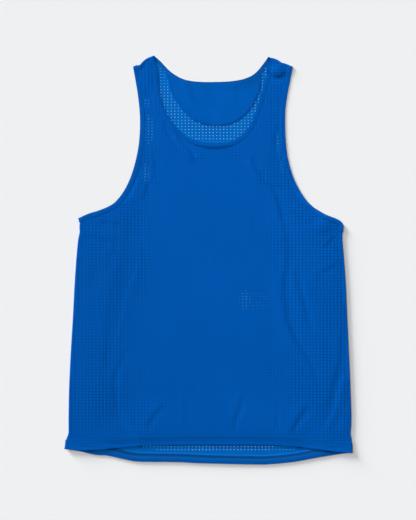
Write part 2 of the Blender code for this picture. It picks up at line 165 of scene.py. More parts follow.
LEAF_GLOW = 0.5  # painted light: how much lighter a leaf's inner half is where it faces away from the key light
EDGE_GLOW = 0.5  # painted highlight: how much lighter the right armhole's binding is near its underarm
EDGE_GLOW_SPAN = (505.0, 475.0)

FACING_LIE = 0.55  # above the back panel's cloth
FACING_ROLL = 0.3
FACING_ROLL_STEPS = 4
FACING_DROP = 0.38  # height of its turned edge
FACING_GRID = 5.0
FACING_MARGIN = 2.0
FACING_TUCK = 1.5
FACING_SHADE = 0.17  # how much darker it is under the right part of the neck binding
FACING_SHADE_REACH = 16.0
FACING_SHADE_SPAN = (20.0, 60.0)

STITCH_PITCH = 2.6
STITCH_LENGTH = 2.1
STITCH_SIDES = 6
STITCH_STATIONS = ((-1.0, 0.35), (-0.6, 1.0), (0.6, 1.0), (1.0, 0.35))  # place and radius
STITCH_BREADTH = 1.2  # of its thickness
THREAD_RADIUS = 0.2
STITCH_SHARE = 0.57  # of a binding's width, from its edge
STITCH_LIFT = 0.4  # of a binding's stitches, above its middle
FRONT_HEM_ROWS = (9.5, 14.5)
BACK_HEM_ROW = 11.3
HEM_ROW_END = 247.0
FACING_ROW = 2.6
ROW_LIFT, FACING_ROW_LIFT = 0.02, 0.04
LOOPER_WIDTH = 8.2
LOOPER_SIDES = 4
LOOPER_BREADTH = 1.4
LOOPER_PHASES = ((1.0, 0.75), (-1.0, 0.25))  # side it starts on, and lift in thread radii

# Sides, from the hem corners to the underarms: up, left, right
SIDES = (
    (28, -256, 256), (43, -253, 254.5), (54, -249.2, 252.6), (82, -249, 254), (136, -248, 252.3),
    (200, -245, 249.6), (263, -241.2, 246.6), (321, -238.2, 244), (370, -234.8, 240.5),
    (399, -232, 238), (413, -229.3, 238.3),
)
SIDE_LEFT_TOP = ((-229.6, 423.0), (-228.8, 431.9))
RIGHT_CORNER_DROP = 6.5

# Armhole edges, from above the underarms to the shoulders: up, left, right
ARMHOLES = (
    (452, -195, 195.6), (460, -176, 184), (470, -163, 174), (488, -149.7, 162),
    (509, -139.5, 151.7), (530, -132.4, 144.7), (552, -127.1, 139.9), (576, -123.4, 137.4),
    (605, -121.9, 136.2), (631, -122.8, 136.7), (658, -125.8, 140.3), (683, -129.9, 145.2),
    (707, -134.2, 149.8),
)

# Ends of the armhole edges at the side seams: across, up. The right one rolls over its corner.
UNDERARM_LEFT = ((-229.9, 438.6), (-215.0, 445.6))
UNDERARM_RIGHT = (
    (238.9, 414.7), (240, 420.5), (239.5, 426.5), (235, 432.8), (226, 437.8), (210, 444),
)

# Front neckline, from the shoulders down: up, left, right
NECK_FRONT = (
    (713, -93.3, 105.2), (695, -90.6, 102.9), (673.5, -88.5, 97.5), (654, -85.3, 92.2),
    (634.4, -79.2, 86), (616, -69.4, 78.9), (599, -56.4, 70.5), (586, -40.9, 59.6),
    (577.4, -24, 46.5), (572.4, -7.1, 29.4),
)
NECK_FRONT_LOW = (11.0, 571.0)
NECK_POINTS = ((-96.3, 726.9), (105.7, 724.3))

# Back neckline, between the neck points: across, up
NECK_BACK = (
    (-85.4, 717.3), (-74.8, 705.9), (-64.1, 696.3), (-48, 687), (-32, 682.6), (-10.7, 680.7),
    (15, 680.7), (37, 681.7), (59, 685), (74.8, 690.8), (85.4, 698.3), (96.1, 710.9),
)

# Shoulder edges of the panels, from the armhole binding to the neck binding: across, up
SHOULDER_LEFT = (
    (-129, 709.3), (-122, 711.2), (-118.8, 715), (-112.3, 720.7), (-106.1, 724.2), (-101.5, 725.8),
)
SHOULDER_RIGHT = (
    (144.3, 710.3), (136, 713.6), (130.3, 715), (124.2, 719.2), (116, 722.6), (110.5, 723.8),
)

# Lower edge of the facing, from left to right: across, up
FACING_EDGE = (
    (-75.5, 695), (-71.5, 681), (-65.5, 659.3), (-51.3, 636.9), (-34.9, 618.4), (-14.4, 607.3),
    (6, 602.5), (26.3, 603.2), (46.8, 609.3), (63.2, 620.5), (77.4, 636.9), (87.8, 657.4),
    (92.7, 673.7), (95.2, 696.5),
)

# Hem edges between the corners, from left to right: across, up
FRONT_HEM = (
    (-229, 25.2), (-193, 26.4), (-158, 29.4), (-131, 31.8), (-104, 33), (-15, 34.6), (109, 34),
    (163, 30.4), (202, 25.8), (239, 21.6),
)
BACK_HEM = (
    (-229, 23.8), (-212, 19.6), (-197, 17), (-181, 16.4), (-160, 11.8), (-140, 7.6), (-122, 5.5),
    (-53, 4.5), (-15, 2.6), (75, 0.5), (107, 0.7), (150, 4.8), (192, 12.2), (235, 19.2),
)

# Fold lines at the first and the last end of each bound edge, where its binding turns from the
# front to the back: direction into the cloth
NECK_FOLDS = ((-0.93, -0.37), (0.95, -0.31))
LEFT_ARM_FOLDS = ((0.2, -0.98), (0.93, 0.37))
RIGHT_ARM_FOLDS = ((-1.0, 0.05), (-0.94, 0.34))

# Creases: each drop, half width, and line, which runs down the garment. The cloth drops this far
# across it, towards the left hand of someone who walks along it, and rises where it is negative.
Crease = namedtuple("Crease", "line drop half_width")
CREASES = creases(
    (0.3, 6, (-160, 388), (-163, 345), (-172, 305), (-179, 270), (-182, 235), (-184, 200),
     (-188, 150), (-190, 118), (-192, 92)),
    (0.36, 8, (-148, 450), (-151, 410), (-150, 378), (-152, 350), (-157, 322), (-165, 268)),
    (-0.35, 8, (-119, 455), (-116, 424), (-116, 394)),
    (0.25, 4, (-166, 440), (-167, 400), (-172, 370)),
    (-0.3, 4.5, (-124, 400), (-128, 350), (-142, 316), (-153, 273), (-162, 233), (-171, 185)),
    (-0.55, 4, (-216, 414), (-203, 407), (-190, 401), (-170, 394)),
    (-0.5, 6, (-202, 431), (-182, 432), (-162, 430), (-148, 427)),
    (0.25, 4, (-179, 378), (-178, 350)),
    (0.32, 5, (-142, 218), (-157, 186), (-168, 163), (-171, 140), (-167, 110), (-164, 80)),
    (-0.45, 4.5, (-150, 182), (-159, 155), (-160, 124), (-156, 98), (-146, 72)),
    (0.55, 4, (-140, 92), (-134, 76), (-122, 60), (-117, 50)),
    (0.55, 4, (-72, 111), (-88, 99), (-97, 89), (-105, 76), (-114, 62)),
    (-0.2, 4, (-88, 92), (-96, 76), (-100, 58)),
    (0.35, 4, (-45, 120), (-42, 92), (-40, 62)),
    (-0.15, 4, (-20, 160), (-19, 110)),
    (0.25, 4, (-121, 174), (-118, 150)),
    (0.85, 6.5, (112, 494), (118, 479), (125, 458), (132, 430), (138, 402), (140, 375), (138, 350),
     (134, 324), (135, 304), (137, 286), (138, 262), (141, 248), (152, 226), (160, 212),
     (168, 200), (176, 186), (184, 168), (189, 150)),
    (0.45, 6.5, (125, 338), (129, 306), (134, 284), (138, 262), (146, 236), (156, 216),
     (168, 198)),
    (0.9, 4.5, (88, 519), (97, 507), (106, 499), (114, 488), (120, 474), (126, 455), (131, 430)),
    (0.55, 4.5, (141, 258), (149, 233), (159, 214), (168, 200), (177, 184), (186, 164),
     (192, 146)),
    (0.5, 4, (98, 386), (106, 372), (114, 366), (121, 352), (127, 336)),
    (-0.2, 4.5, (145, 352), (145, 312), (151, 294), (160, 278)),
    (0.6, 4.5, (153, 365), (155, 335), (158, 316), (164, 299), (169, 281), (173, 262), (178, 240)),
    (-0.45, 4, (169, 340), (171, 312), (175, 292), (186, 260), (190, 232)),
    (0.22, 4, (238, 330), (238, 262), (235, 200), (230, 168)),
    (0.6, 3.8, (224, 410), (214, 396), (202, 388)),
    (0.5, 3.8, (229, 359), (214, 349), (199, 341)),
    (0.5, 3.6, (220, 380), (229, 373), (235, 362)),
    (0.25, 4, (224, 347), (231, 325), (235, 308)),
    (-0.8, 4, (143, 457), (157, 447), (168, 438), (181, 426)),
    (0.35, 4, (193, 350), (194, 322)),
    (0.55, 4.8, (234, 250), (233, 195), (227, 165), (220, 140), (216, 116), (208, 96)),
    (-0.8, 6, (249, 176), (237, 152), (231, 129), (223, 98), (212, 75), (202, 52)),
    (-0.5, 9, (244, 112), (236, 84), (228, 52)),
    (0.65, 5, (178, 108), (163, 89), (153, 70), (144, 52)),
    (-0.35, 4.5, (186, 102), (172, 80), (161, 69), (151, 52)),
    (0.5, 4, (60, 130), (54, 104), (47, 82), (44, 54)),
    (-0.3, 4, (65, 110), (59, 88), (52, 72), (49, 52)),
    (0.35, 4, (120, 90), (118, 58)),
    (-0.25, 4, (130, 118), (128, 84), (124, 58)),
    (0.2, 4.5, (94, 250), (95, 198)),
    (0.15, 4, (-24, 458), (-25, 402)),
    (0.2, 4, (76, 465), (78, 416)),
    (0.15, 4, (36, 408), (35, 352)),
    (2.1, 3.5, (-62, 592), (-48, 573), (-38, 562), (-30, 552), (-20, 540)),
    (0.9, 3.8, (-85, 610), (-76, 590), (-64, 571), (-52, 556)),
    (1.2, 4, (73, 546), (80, 532), (89, 518), (99, 505)),
    (-0.5, 4.2, (97, 508), (108, 500), (120, 496), (138, 493)),
    (0.4, 4, (-98, 565), (-97, 530), (-95, 502)),
    (0.6, 4.5, (-108, 504), (-112, 485), (-117, 466)),
    (-0.7, 6, (-122, 522), (-128, 502), (-137, 482), (-152, 462)),
    (0.3, 4.5, (-118, 698), (-113, 672), (-104, 652), (-96, 632)),
    (-0.25, 4, (-106, 672), (-99, 650), (-94, 630)),
    (-0.5, 5.5, (123, 590), (125, 555), (131, 520), (141, 494)),
    (-1.6, 3.2, (100, 711), (103, 703), (110, 695), (121, 689.5), (132, 693), (140, 700)),
    (1, 2.6, (-106, 727), (-115, 715), (-122, 700)),
)
FACING_CREASES = creases(
    (1.3, 4.5, (-46, 686), (-34, 668), (-28, 652), (-21, 640), (-10, 628), (2, 614), (8, 604)),
    (-0.5, 6, (8, 680), (16, 664), (21, 648), (24, 626)),
    (0.5, 4, (46, 680), (50, 660), (46, 638)),
)
CREASE_REACH = 4.5  # of its half width, where the cloth is as high as before
CREASE_TAPER = 0.22  # of a crease's length, at each end
CREASE_STEP = 6.0

Spot = namedtuple("Spot", "across up half_width half_height amount")
Stretch = namedtuple("Stretch", "across half_width amount")
Stand = namedtuple("Stand", "across up reach rise")

# Broad swells, where the front panel stands off the back one: centre, half sizes, and rise
SWELLS = table(
    Spot,
    (-205, 108, 40, 70, 0.25), (203, 424, 24, 18, 0.9), (-106, 692, 20, 26, 0.7),
    (121, 701, 16, 13, 1.3),
)

# Stretches of the front hem that lift off the surface: middle, half width, and rise
HEM_WAVES = table(
    Stretch,
    (-192, 38, 0.5), (-122, 22, 0.5), (60, 60, 0.3), (140, 24, 0.4), (206, 36, 0.6),
)
HEM_WAVE_REACH = 48.0

# Stretches where the front hem gapes and its inner layer shows in shadow: middle, half width,
# depth
HEM_GAPS = table(
    Stretch,
    (-209, 12, 1.1), (-172, 16, 1.4), (-122, 9, 1.2), (-60, 30, 0.4), (10, 30, 0.4), (122, 13, 1),
    (162, 8, 1.4), (211, 17, 1.2),
)

# Where the front's holes are painted dark, for the shade where the panels stand apart: up, and the
# limits on either side
DEEP_FROM = (
    (30, -150, 141), (257, -150, 141), (285, -130, 129), (330, -114, 127), (380, -102, 118),
    (460, -98, 108), (505, -90, 102), (560, -94, 106), (640, -88, 102), (720, -80, 100),
)

# Places where they are painted darker still: centre, half sizes, and depth
DEEP_PATCHES = table(
    Spot,
    (-18, 552, 22, 20, 0.7), (43, 552, 22, 20, 0.7), (99, 512, 22, 22, 0.8),
    (118, 400, 22, 60, 0.5), (112, 165, 30, 40, 0.5), (-115, 85, 60, 60, 0.6),
    (-190, 115, 80, 85, 0.85), (-180, 200, 20, 62, 0.95), (-121, 352, 19, 78, 1),
    (-124, 430, 32, 42, 0.8), (-205, 400, 26, 26, 0.6), (132, 396, 30, 45, 0.95),
    (153, 310, 16, 70, 0.95), (208, 118, 62, 75, 0.95), (0, 90, 90, 40, 0.3),
)

# Places where the back panel's holes look small: centre, half sizes, and size
TIGHT_PLACES = table(
    Spot,
    (0, 25, 300, 12, 0.92), (-98, 25, 62, 12, 0.75), (150, 25, 36, 12, 0.55),
    (11, 573.5, 60, 4, 0.2), (-78, 698, 16, 27, 0.62),
)
BACK_HOLE_SIZE = 0.91

# Places where the holes of both panels meet: centre, half sizes, and how nearly they meet
MEETINGS = table(
    Spot,
    (-111, 643, 5, 9, 0.88), (-107, 594, 7, 24, 0.9), (-113, 517, 6, 15, 0.9),
    (124.6, 575, 4, 15, 0.9), (130, 533, 3, 8, 0.86), (63, 291, 8, 16, 0.86),
    (80, 289, 26, 16, 0.79), (-200, 332, 6, 12, 0.74),
)
MEETING_EDGE = 0.7  # of a place's half sizes, over which the holes part again
MEETING_DIP = 0.3  # how far the front sinks there
MEETING_DIP_EDGE = 1.8
LIT_SPAN = (0.75, 0.95)  # how nearly holes meet where light begins and ends to grow through them

# Places where a binding stands proud of its panel: centre, reach, and rise
STANDS = table(
    Stand,
    (3, 571, 54, 1), (-52, 594, 26, 0.3), (-196, 452, 30, 0.3), (-138, 506, 14, 0.3),
    (214, 444, 30, 0.7), (176, 468, 20, 0.4), (-118, 710, 16, 0.5),
)

# Sections of a binding's upper leaf: share of its width from the edge, and lift above its middle
LEAF = (
    (0.05, 0.8), (0.12, 0.92), (0.25, 1), (0.4, 1), (0.48, 0.93), (0.54, 0.86), (0.6, 0.86),
    (0.66, 0.93), (0.75, 0.97), (0.86, 0.96), (0.95, 0.92), (0.99, 0.84), (1, 0.15),
)
OUTER_SHARES, OUTER_LIFTS = np.array(LEAF[::-1], float).T
# And of the back neck binding's leaf that shows inside the neck
INNER_LEAF = ((0.07, 0.8), (0.34, 1.4), (0.56, 1.2), (0.62, 1.0), (0.84, 1.3), (1.0, 1.1))
INNER_SHARES, INNER_LIFTS = np.array(INNER_LEAF).T
# Stretches of a leaf's width
PLUMP_SPAN = (0.2, 0.9)
GLOW_SPAN = (0.2, 0.7)
LEAF_GLOW_SPAN = (0.45, 1.1)
NECK_POINT_SPAN = (0.0, 0.45)
PROUD_SPAN = (0.0, 0.2)
EDGE_SPAN, END_SPAN = (0.0, 0.1), (0.9, 1.1)
SEAM_SPAN = (0.55, 1.1)

# Colours, as linear red, green and blue
CLOTH = (0.0003, 0.0942, 0.4330)
BINDING = (0.0003, 0.0930, 0.4280)
FACING = (0.0003, 0.0965, 0.4300)
PAINTED_LIGHT_COLOUR = (0.0008, 0.1280, 0.5080, 1)  # painted light: a single layer lit through from the pale surface, and lit stretches of bindings
THREAD = (0.0045, 0.1110, 0.3900)
BLUE_THREAD = (0.0006, 0.0800, 0.3800)
SEAM_BAND = (0.0040, 0.1120, 0.3950, 1)  # cloth under crossing threads
HOLE_SHADE = (0.0002, 0.0200, 0.1050, 1)
# Painted glow round holes where light comes up through them
RIM_GLOW = (0.0150, 0.4200, 0.7000, 1)
GAP_SHADE = (0.0003, 0.0060, 0.0300, 1)
SHEEN = (0.01, 0.25, 1.0, 1)
FLOOR = (0.863, 0.871, 0.888, 1)

# Painted light and shade: how the cloth's tone changes up and across the garment, lighter towards
# the top and darker at the sides, in metres: from, to, and the two tones
TONE_UP = (-0.37, 0.30, 0.92, 1.06)
TONE_ACROSS = (-0.20, 0.05, 0.985, 1.0)
TONE_RIGHT = (0.07, 0.21, 1.0, 0.965)
BROAD_NOISE = {"Scale": 9.0, "Detail": 3.0}
FINE_NOISE = {"Scale": 420.0, "Detail": 2.0}
BROAD_TONES = (0.3, 0.7, 0.975, 1.025)
FINE_TONES = (0.3, 0.7, 0.965, 1.035)
WALE_PITCH = 0.622
COURSE_PITCH = 0.545

# The stage: sizes in metres, and each sun's share of the light, its elevation, azimuth and angle
KEY_SIDE = np.array((-0.707, 0.707))  # where the key light comes from
SUNS = {"overhead": (0.50, 62, 135, 50), "key": (0.42, 11.5, 135, 19)}
SURROUND = 0.08
FLOOR_HALF = 15.0
CAMERA_PLACE = (-0.0009, -0.0003, 2.1855)


# ---- lines in the plane


def smoothstep(t):
    t = np.clip(t, 0.0, 1.0)
    return t * t * (3 - 2 * t)


def fading(t):
    """1 at 0, falling smoothly to 0 at 1."""
    return 1 - smoothstep(t)


def bump(t):
    """1 at 0, falling smoothly to 0 at 1 on either side."""
    return np.where(np.abs(t) < 1, (1 - t * t) ** 2, 0.0)


def through(value, start, end):
    """How far a value is on its way from start to end."""
    return (value - start) / (end - start)


def between(values, span):
    return (values > span[0]) & (values < span[1])


def smooth_line(rows, step):
    """Points about a step apart on a Catmull-Rom curve through the given ones."""
    given = np.array(rows, float)
    padded = np.vstack([2 * given[0] - given[1], given, 2 * given[-1] - given[-2]])
    line = []
    for before, start, end, after in zip(padded, padded[1:], padded[2:], padded[3:]):
        parts = max(1, round(dist(start, end) / step))
        square = 2 * before - 5 * start + 4 * end - after
        cube = 3 * start - before - 3 * end + after
        for t in np.arange(parts) / parts:
            line.append(0.5 * (2 * start + (end - before) * t + square * t**2 + cube * t**3))
    return np.array([*line, given[-1]])


def lengths_along(line):
    steps = np.linalg.norm(np.diff(line, axis=0), axis=1)
    return np.concatenate([[0.0], np.cumsum(steps)])


def unit(vectors):
    return vectors / np.linalg.norm(vectors, axis=1)[:, None]


def tangents(line):
    return unit(np.gradient(line, axis=0))


def left_of(directions):
    """Each direction turned a quarter turn to the left."""
    return np.stack([-directions[:, 1], directions[:, 0]], axis=1)


def inset(line, distance):
    """A line of an outline that runs counterclockwise, moved into the cloth."""
    return line + left_of(tangents(line)) * distance


def resampled(line, step):
    """Points a step apart along a line of points in any number of dimensions."""
    run = lengths_along(line)
    places = np.arange(step / 2, run[-1], step)
    return np.stack([np.interp(places, run, axis) for axis in line.T], axis=1)


def distance_to(line, places):
    """Shortest distance from each place to a polyline."""
    best = np.full(len(places), np.inf)
    for a, b in zip(line, line[1:]):
        run = b - a
        t = np.clip((places - a) @ run / (run @ run), 0, 1)
        gap = places - a - t[:, None] * run
        np.minimum(best, np.hypot(gap[:, 0], gap[:, 1]), out=best)
    return best


def closed(outline):
    return np.vstack([outline, outline[:1]])


def is_inside(outline, places):
    inside = np.zeros(len(places), bool)
    x, y = places.T
    for a, b in zip(outline, np.roll(outline, -1, axis=0)):
        if a[1] != b[1]:
            crossed = x < a[0] + (b[0] - a[0]) * (y - a[1]) / (b[1] - a[1])
            inside ^= ((a[1] > y) != (b[1] > y)) & crossed
    return inside


def above(line, places):
    """How far each place is above a line that runs from left to right."""
    return places[:, 1] - np.interp(places[:, 0], line[:, 0], line[:, 1])


def apart(spot, places):
    """How far each place is from a spot's centre, in its half sizes."""
    x, up = places.T
    return np.hypot((x - spot.across) / spot.half_width, (up - spot.up) / spot.half_height)


def wobble(run, longest, seed):
    """A smooth uneven wave along a run, between -1 and 1, made of four sines."""
    total = np.zeros(len(run))
    for k, share in enumerate((0.4, 0.3, 0.2, 0.1)):
        turns = run / (longest / (1 + 0.73 * k))
        total += share * np.sin(2 * pi * turns + seed * (1.9 + k))
    return total


class Edge:
    """A bound edge: its line, the way into the cloth at each point, and its binding's width."""

    def __init__(self, rows, width, cloth_side, first_fold, last_fold):
        self.line = smooth_line(rows, BINDING_STEP)
        self.width = width
        self.cloth_side = cloth_side
        self.run = lengths_along(self.line)
        to_first = fading(self.run / TURN_REACH)[:, None]
        to_last = fading((self.run[-1] - self.run) / TURN_REACH)[:, None]
        mixed = left_of(tangents(self.line)) * cloth_side * (1 - to_first) * (1 - to_last)
        self.inward = unit(mixed + np.array(first_fold) * to_first + np.array(last_fold) * to_last)

    def moved_in(self, distance):
        return self.line + self.inward * distance

    def tucked(self):
        """Where a panel's cloth ends, inside the binding's fold."""
        return self.moved_in(self.width - BINDING_TUCK)

    def heights(self, lie):
        """How high a panel's cloth lies under the middle of the binding."""
        return lie(self.moved_in(self.width / 2))


def column(rows, which):
    """One side of a table of sections, as points."""
    return [(row[which], row[0]) for row in rows]


def bound_neck(rows):
    return Edge([NECK_POINTS[0], *rows, NECK_POINTS[1]], NECK_BINDING, -1, *NECK_FOLDS)


def bound_arm(underarm, side, cloth_side, folds):
    return Edge([*underarm, *column(ARMHOLES, side)], ARM_BINDING, cloth_side, *folds)


left_arm = bound_arm(UNDERARM_LEFT, 1, -1, LEFT_ARM_FOLDS)
right_arm = bound_arm(UNDERARM_RIGHT, 2, 1, RIGHT_ARM_FOLDS)
neck_front = bound_neck([*column(NECK_FRONT, 1), NECK_FRONT_LOW, *column(NECK_FRONT, 2)[::-1]])
neck_back = bound_neck(NECK_BACK)

left_side = smooth_line([*column(SIDES, 1), *SIDE_LEFT_TOP], EDGE_STEP)
corner, *higher = column(SIDES, 2)
right_side = smooth_line([(corner[0], corner[1] - RIGHT_CORNER_DROP), *higher], EDGE_STEP)
front_hem = smooth_line([left_side[0], *FRONT_HEM, right_side[0]], EDGE_STEP)
back_hem = smooth_line([left_side[0], *BACK_HEM, right_side[0]], EDGE_STEP)
facing_edge = smooth_line(FACING_EDGE, EDGE_STEP)


def panel_parts(hem, neck):
    """The outline counterclockwise, as (kind, line) parts. Rolled and folded edges are inset."""
    rolled = SIDE_ROLL + EDGE_REST
    bottom = inset(hem, HEM_FOLD + EDGE_REST)
    right, left = inset(right_side, rolled), inset(left_side[::-1], rolled)
    return [
        ("hem", bottom),
        ("rolled", right[right[:, 1] > bottom[-1, 1] + CORNER_GAP]),
        ("bound", right_arm.tucked()),
        ("rolled", inset(smooth_line(SHOULDER_RIGHT, EDGE_STEP), rolled)),
        ("bound", neck.tucked()[::-1]),
        ("rolled", inset(smooth_line(SHOULDER_LEFT[::-1], EDGE_STEP), rolled)),
        ("bound", left_arm.tucked()[::-1]),
        ("rolled", left[left[:, 1] > bottom[0, 1] + CORNER_GAP]),
    ]


def outline_of(parts):
    return np.vstack([line for _, line in parts])


# ---- how the cloth lies


def back_lie(places):
    """Height of the back panel's cloth, uneven, and standing off the surface along its hem."""
    x, y = places.T
    rise, (a, b), (c, d) = WAVES
    waves = rise * np.sin(x / a + y / b) + rise * np.sin(y / c - x / d + 1.0)
    return BACK_LIE + HEM_CURL * fading(above(back_hem, places) / HEM_CURL_REACH) + waves


def crease_rise(crease, places):
    """Height that a crease adds: half its drop before it, minus half after it, fading away."""
    line = smooth_line(crease.line, CREASE_STEP)
    reach = CREASE_REACH * crease.half_width
    rise = np.zeros(len(places))
    low, high = line.min(axis=0) - reach, line.max(axis=0) + reach
    near = np.flatnonzero(np.all((places > low) & (places < high), axis=1))
    if not len(near):
        return rise
    here = places[near]
    gaps = np.linalg.norm(here[:, None] - line[None], axis=2)
    nearest = gaps.argmin(axis=1)
    side = np.einsum("ij,ij->i", here - line[nearest], left_of(tangents(line))[nearest])
    away = np.abs(side) + np.maximum(0, gaps.min(axis=1) - np.abs(side)) ** 2 / reach
    steep = np.sin(pi / 2 * np.clip(side / crease.half_width, -1, 1))
    along = lengths_along(line)[nearest] / lengths_along(line)[-1]
    ends = smoothstep(along / CREASE_TAPER) * smoothstep((1 - along) / CREASE_TAPER)
    rise[near] = -crease.drop / 2 * steep * fading(away / reach) * ends
    return rise


def facing_lie(places):
    """Height of the facing's cloth, on the back panel's."""
    rises = sum(crease_rise(crease, places) for crease in FACING_CREASES)
    return back_lie(places) + FACING_LIE + rises


def meeting(places, edge):
    """How nearly the holes of both panels meet at each place."""
    shares = [spot.amount * fading((apart(spot, places) - 1) / edge) for spot in MEETINGS]
    return np.max([np.zeros(len(places)), *shares], axis=0)


def nearest(lines, places):
    """Distance from each place to the nearest of some lines."""
    return np.min([distance_to(np.array(line), places) for line in lines], axis=0)


def front_lie(places):
    """Height of the front panel's cloth."""
    arms = (left_arm, right_arm)
    underarms = [arm.line[0] + np.outer((0, arm.width), arm.inward[0]) for arm in arms]
    to_side = nearest([left_side, right_side, *underarms], places)
    to_shoulder = nearest([SHOULDER_LEFT, SHOULDER_RIGHT], places)
    bound = (*arms, neck_front)
    to_bindings = [distance_to(edge.line[::3], places) - edge.width for edge in bound]
    by_side = SIDE_STAND * fading((to_side - SIDE_LEVEL) / SIDE_REACH)
    by_side += SIDE_RISE * fading(to_side / SIDE_RISE_REACH) * (places[:, 0] < 0)
    by_shoulder = SHOULDER_STAND * fading(to_shoulder / SHOULDER_REACH)

    above_front = above(front_hem, places)
    on_own_layer = fading(through(above_front, *HEM_REST_REACH))
    on_back_layer = fading((above(back_hem, places) - HEM_DEPTH) / BACK_LAYER_REACH)
    by_hem = 2 * HEM_FOLD * (on_own_layer + on_back_layer) - 0.5 * LAYER_GAP * on_own_layer
    by_hem += HEM_FALL * (on_own_layer - fading(through(above_front, *HEM_FALL_REACH)))
    stands = (by_side, by_shoulder, np.maximum(0, by_hem))
    height = back_lie(places) + LAYER_GAP + np.cbrt(sum(stand**3 for stand in stands))
    height -= BINDING_DITCH * fading(np.min(to_bindings, axis=0) / BINDING_REACH)
    height -= MEETING_DIP * meeting(places, MEETING_DIP_EDGE)

    still = smoothstep(to_shoulder / SHOULDER_STILL) * smoothstep(to_side / SIDE_STILL)
    height += still * sum(swell.amount * bump(apart(swell, places)) for swell in SWELLS)
    height += still * sum(crease_rise(crease, places) for crease in CREASES)
    near_hem = bump(np.maximum(0.0, above_front) / HEM_WAVE_REACH)
    near_hem *= smoothstep(to_side / HEM_STILL)
    for wave in HEM_WAVES:
        height += near_hem * wave.amount * bump((places[:, 0] - wave.across) / wave.half_width)
    return height


def painted_hole_shade(places):
    """How much painted shade the front's holes get at each place, between 0 and 1."""
    x, up = places.T
    ups, lefts, rights = np.array(DEEP_FROM).T
    outside = np.maximum(np.interp(up, ups, lefts) - x, x - np.interp(up, ups, rights))
    a, b, c, d = DEEP_WAVES
    uneven = DEEP_SWING * np.sin(x / a + DEEP_SWAY * np.sin(up / b)) * np.sin(up / c - x / d)
    uneven = (DEEP_MEAN + uneven) * np.where(x < 0, *SIDE_DEPTHS)
    depths = [smoothstep(outside / DEEP_EDGE + DEEP_START) * uneven]
    depths += [patch.amount * bump(apart(patch, places)) for patch in DEEP_PATCHES]
    return np.clip(DEEP_LEAST + (1 - DEEP_LEAST) * np.max(depths, axis=0), 0, 1)


def tightened(places, at_hole):
    """Draws the edges of the back panel's holes together, more in some places than in others."""
    centres = BACK_HOLES_FROM + np.round((places - BACK_HOLES_FROM) / PITCH) * PITCH
    size = np.full(len(places), BACK_HOLE_SIZE)
    for spot in TIGHT_PLACES:
        size[apart(spot, centres) < 1] = spot.amount
    size[at_hole < 1] = 1
    return centres + (places - centres) * size[:, None]


def slid(places):
    """Moves the back panel's net under the front's holes in some places, and up above its hem."""
    moved = places + meeting(places, MEETING_EDGE)[:, None] * PITCH / 2
    begins, ends = HEM_SLIP_REACH
    up = above(back_hem, places)
    moved[:, 1] += HEM_SLIP * smoothstep(through(up, *begins)) * fading(through(up, *ends))
    return moved


# ---- cloth


class Cloth:
    """Points and faces of one piece of cloth, with how its points look.

    Its first look is painted light, where the cloth is painted lighter for light that comes
    through it:
    1 where a single layer lies on the pale surface, and less on some bindings. Seam is how much
    thread covers the cloth, and rim is 1 at the edges of its holes. Deep is how much painted shade
    its holes get, where the cloth stands clear of what lies under it; lit is how much painted glow
    rings them, where light comes up through the holes; and dark is painted shade, 1 in a narrow
    gap.
    """

    LOOKS = ("thin", "seam", "rim", "deep", "lit", "dark")

    def __init__(self, faces=()):
        self.places = np.zeros((0, 3))
        self.faces = list(faces)
        self.looks = {name: np.zeros(0) for name in self.LOOKS}

    def add(self, flat, heights, **looks):
        """Adds points and returns their numbers."""
        first = len(self.places)
        self.places = np.vstack([self.places, np.column_stack([flat, heights])])
        for name in self.LOOKS:
            values = np.broadcast_to(looks.get(name, 0.0), len(flat))
            self.looks[name] = np.append(self.looks[name], values)
        return np.arange(first, first + len(flat))

    def strip(self, rows):
        """Quads between rows of point numbers, each row to the right of the one before it."""
        rows = [row.tolist() for row in rows]
        for here, there in zip(rows, rows[1:]):
            self.faces += zip(here, there, there[1:], here[1:])


def ring_of(count):
    return [(k, (k + 1) % count) for k in range(count)]


def triangulated(points, edges):
    """Flat points, triangles, and where each given point is among the flat ones."""
    found = delaunay_2d_cdt([Vector(p) for p in points], edges, [], 0, MERGE_DISTANCE)
    where = {source: k for k, sources in enumerate(found[3]) for source in sources}
    return np.array(found[0]), np.array(found[2]), where


